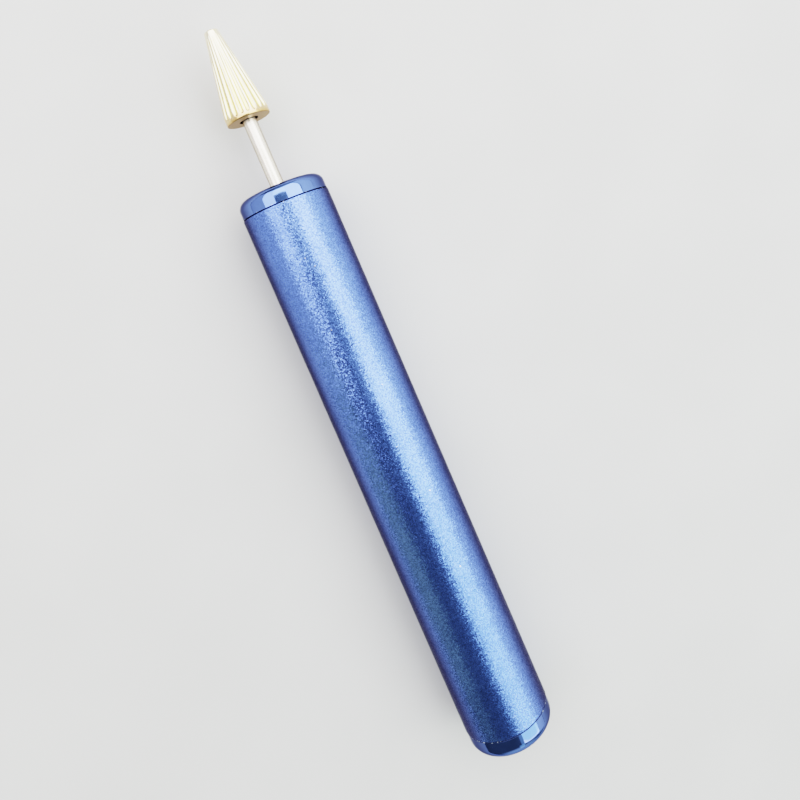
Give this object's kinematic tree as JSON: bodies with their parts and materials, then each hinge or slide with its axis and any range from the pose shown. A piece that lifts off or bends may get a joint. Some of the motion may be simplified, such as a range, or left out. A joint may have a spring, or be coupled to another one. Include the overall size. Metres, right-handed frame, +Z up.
{
  "type": "leather edge paint roller pen",
  "caption": "Edge paint roller pen: a fluted brass cone on a steel shaft spins in ball bearings inside a round blue aluminium handle with rounded end caps.",
  "frame": {"origin": "centre of the handle's flat rear end face", "axes": "+X along the pen's axis towards the roller's tip, +Z up with the pen lying on its side, +Y across it; the barrel rests at z = -8 mm"},
  "size_m": [0.1368, 0.016, 0.016],
  "materials": {
    "barrel_blue": "bead-blasted, blue anodised, fine metallic grain",
    "cap_blue": "turned smooth, blue anodised, glossy",
    "roller_brass": "polished",
    "shaft_steel": "ground and polished",
    "bearing_steel": "ground",
    "shield_steel": "pressed sheet",
    "cage_brass": "pressed, matt",
    "clip_steel": "phosphated spring steel",
    "spacer_aluminium": "turned"
  },
  "bodies": {
    "handle": {"barrel_tube": "barrel_blue", "front_cap": "cap_blue", "rear_cap": "cap_blue", "front_bearing_outer_ring": "bearing_steel", "front_bearing_front_shield": "shield_steel", "front_bearing_rear_shield": "shield_steel", "rear_bearing_outer_ring": "bearing_steel", "rear_bearing_front_shield": "shield_steel", "rear_bearing_rear_shield": "shield_steel", "outer_spacer": "spacer_aluminium", "bore_circlip": "clip_steel"},
    "spindle": {"roller_head": "roller_brass", "spindle_shaft": "shaft_steel", "front_e_clip": "clip_steel", "front_bearing_inner_ring": "bearing_steel", "inner_spacer": "spacer_aluminium", "rear_bearing_inner_ring": "bearing_steel", "rear_washer": "shield_steel", "rear_e_clip": "clip_steel"},
    "front_cage": {"front_bearing_cage": "cage_brass", "front_bearing_balls": "bearing_steel"},
    "rear_cage": {"rear_bearing_cage": "cage_brass", "rear_bearing_balls": "bearing_steel"}
  },
  "joints": [
    {"name": "spindle_spin", "type": "hinge", "parent": "handle", "child": "spindle", "pos_m": [0.1026, 0, 0], "axis": [1, 0, 0], "continuous": true},
    {"name": "front_cage_spin", "type": "hinge", "parent": "handle", "child": "front_cage", "pos_m": [0.1026, 0, 0], "axis": [1, 0, 0], "continuous": true},
    {"name": "rear_cage_spin", "type": "hinge", "parent": "handle", "child": "rear_cage", "pos_m": [0.0866, 0, 0], "axis": [1, 0, 0], "continuous": true}
  ],
  "couplings": [
    {"joint": "front_cage_spin", "follows": "spindle_spin", "ratio": 0.35714},
    {"joint": "rear_cage_spin", "follows": "spindle_spin", "ratio": 0.35714}
  ]
}
